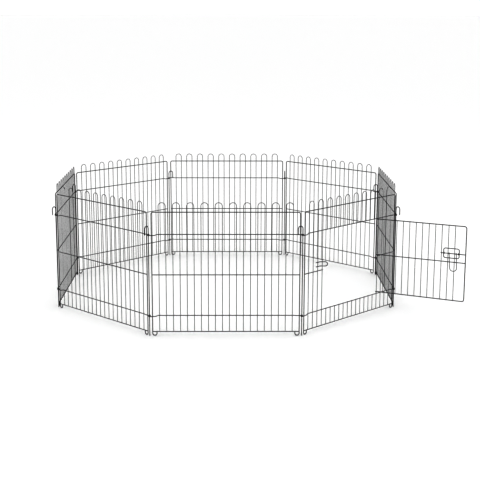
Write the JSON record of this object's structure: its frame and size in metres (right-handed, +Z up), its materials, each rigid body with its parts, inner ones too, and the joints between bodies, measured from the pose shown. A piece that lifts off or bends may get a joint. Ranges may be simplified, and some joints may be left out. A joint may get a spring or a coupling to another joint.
{
  "type": "pet playpen",
  "caption": "Folding wire pet playpen: a ring of hinged grille panels with arched tops, long hooked hinge pins with stake ends, and a side-hung door with a sliding wire latch.",
  "frame": {"origin": "centre of the ring of panels, on the floor", "axes": "+Z up; the panel with the door faces -Y; +X is to the right of a person who stands outside and faces the door panel"},
  "size_m": [1.5131, 1.8383, 0.5426],
  "materials": {
    "frame_coat": "satin black powder coat",
    "bar_coat": "satin black powder coat",
    "pin_coat": "satin black powder coat, slightly smoother",
    "latch_coat": "satin black powder coat, rubbed where it slides"
  },
  "bodies": {
    "door_panel": {"panel_0_arches": "bar_coat", "panel_0_bottom_rail": "frame_coat", "panel_0_frame": "frame_coat", "panel_0_hinge_rails": "frame_coat", "panel_0_latch_keeper": "latch_coat", "panel_0_mid_rail": "frame_coat", "panel_0_sill_bars": "bar_coat"},
    "panel_1": {"panel_1_arches": "bar_coat", "panel_1_bottom_rail": "frame_coat", "panel_1_frame": "frame_coat", "panel_1_hinge_rails": "frame_coat", "panel_1_mid_rail": "frame_coat"},
    "panel_2": {"panel_2_arches": "bar_coat", "panel_2_bottom_rail": "frame_coat", "panel_2_frame": "frame_coat", "panel_2_hinge_rails": "frame_coat", "panel_2_mid_rail": "frame_coat"},
    "panel_3": {"panel_3_arches": "bar_coat", "panel_3_bottom_rail": "frame_coat", "panel_3_frame": "frame_coat", "panel_3_hinge_rails": "frame_coat", "panel_3_mid_rail": "frame_coat"},
    "panel_4": {"panel_4_arches": "bar_coat", "panel_4_bottom_rail": "frame_coat", "panel_4_frame": "frame_coat", "panel_4_hinge_rails": "frame_coat", "panel_4_mid_rail": "frame_coat"},
    "panel_5": {"panel_5_arches": "bar_coat", "panel_5_bottom_rail": "frame_coat", "panel_5_frame": "frame_coat", "panel_5_hinge_rails": "frame_coat", "panel_5_mid_rail": "frame_coat"},
    "panel_6": {"panel_6_arches": "bar_coat", "panel_6_bottom_rail": "frame_coat", "panel_6_frame": "frame_coat", "panel_6_hinge_rails": "frame_coat", "panel_6_mid_rail": "frame_coat"},
    "panel_7": {"panel_7_arches": "bar_coat", "panel_7_bottom_rail": "frame_coat", "panel_7_frame": "frame_coat", "panel_7_hinge_rails": "frame_coat", "panel_7_mid_rail": "frame_coat"},
    "pin_0": {"hinge_pin_0": "pin_coat"},
    "pin_1": {"hinge_pin_1": "pin_coat"},
    "pin_2": {"hinge_pin_2": "pin_coat"},
    "pin_3": {"hinge_pin_3": "pin_coat"},
    "pin_4": {"hinge_pin_4": "pin_coat"},
    "pin_5": {"hinge_pin_5": "pin_coat"},
    "pin_6": {"hinge_pin_6": "pin_coat"},
    "pin_7": {"hinge_pin_7": "pin_coat"},
    "door": {"door_frame": "frame_coat", "door_mid_rail": "frame_coat", "door_bars": "bar_coat", "latch_rail": "frame_coat"},
    "latch_bolt": {"latch_loop": "latch_coat", "latch_guides": "latch_coat"},
    "latch_pull": {"latch_handle": "latch_coat"}
  },
  "joints": [
    {"name": "panel_1_fold", "type": "hinge", "parent": "door_panel", "child": "panel_1", "pos_m": [0.305, -0.73633, 0], "axis": [0, 0, 1], "range_deg": [-45, 45]},
    {"name": "panel_2_fold", "type": "hinge", "parent": "panel_1", "child": "panel_2", "pos_m": [0.73633, -0.305, 0], "axis": [0, 0, 1], "range_deg": [-45, 45]},
    {"name": "panel_3_fold", "type": "hinge", "parent": "panel_2", "child": "panel_3", "pos_m": [0.73633, 0.305, 0], "axis": [0, 0, 1], "range_deg": [-45, 45]},
    {"name": "panel_7_fold", "type": "hinge", "parent": "door_panel", "child": "panel_7", "pos_m": [-0.305, -0.73633, 0], "axis": [0, 0, 1], "range_deg": [-45, 45]},
    {"name": "panel_6_fold", "type": "hinge", "parent": "panel_7", "child": "panel_6", "pos_m": [-0.73633, -0.305, 0], "axis": [0, 0, 1], "range_deg": [-45, 45]},
    {"name": "panel_5_fold", "type": "hinge", "parent": "panel_6", "child": "panel_5", "pos_m": [-0.73633, 0.305, 0], "axis": [0, 0, 1], "range_deg": [-45, 45]},
    {"name": "panel_4_fold", "type": "hinge", "parent": "panel_5", "child": "panel_4", "pos_m": [-0.305, 0.73633, 0], "axis": [0, 0, 1], "range_deg": [-45, 45]},
    {"name": "pin_0_lift", "type": "slide", "parent": "door_panel", "child": "pin_0", "axis": [0, 0, 1], "range_m": [0, 0.46]},
    {"name": "pin_1_lift", "type": "slide", "parent": "panel_1", "child": "pin_1", "axis": [0, 0, 1], "range_m": [0, 0.46]},
    {"name": "pin_2_lift", "type": "slide", "parent": "panel_2", "child": "pin_2", "axis": [0, 0, 1], "range_m": [0, 0.46]},
    {"name": "pin_3_lift", "type": "slide", "parent": "panel_3", "child": "pin_3", "axis": [0, 0, 1], "range_m": [0, 0.46]},
    {"name": "pin_4_lift", "type": "slide", "parent": "panel_5", "child": "pin_4", "axis": [0, 0, 1], "range_m": [0, 0.46]},
    {"name": "pin_5_lift", "type": "slide", "parent": "panel_5", "child": "pin_5", "axis": [0, 0, 1], "range_m": [0, 0.46]},
    {"name": "pin_6_lift", "type": "slide", "parent": "panel_6", "child": "pin_6", "axis": [0, 0, 1], "range_m": [0, 0.46]},
    {"name": "pin_7_lift", "type": "slide", "parent": "panel_7", "child": "pin_7", "axis": [0, 0, 1], "range_m": [0, 0.46]},
    {"name": "door_swing", "type": "hinge", "parent": "door_panel", "child": "door", "pos_m": [0.183, -0.73403, 0.25], "axis": [0, 0, 1], "range_deg": [-107.85, 40]},
    {"name": "latch_slide", "type": "slide", "parent": "door", "child": "latch_bolt", "axis": [0.3173, -0.9483, 0], "range_m": [0, 0.014]},
    {"name": "latch_pull_swing", "type": "hinge", "parent": "latch_bolt", "child": "latch_pull", "pos_m": [0.2893, -1.04276, 0.291], "axis": [0.3173, -0.9483, 0], "range_deg": [0, 142]}
  ],
  "couplings": [
    {"joint": "panel_2_fold", "follows": "panel_1_fold", "ratio": -1},
    {"joint": "panel_3_fold", "follows": "panel_1_fold", "ratio": 1},
    {"joint": "panel_7_fold", "follows": "panel_1_fold", "ratio": 1},
    {"joint": "panel_6_fold", "follows": "panel_1_fold", "ratio": -1},
    {"joint": "panel_5_fold", "follows": "panel_1_fold", "ratio": 1},
    {"joint": "panel_4_fold", "follows": "panel_1_fold", "ratio": -1}
  ]
}
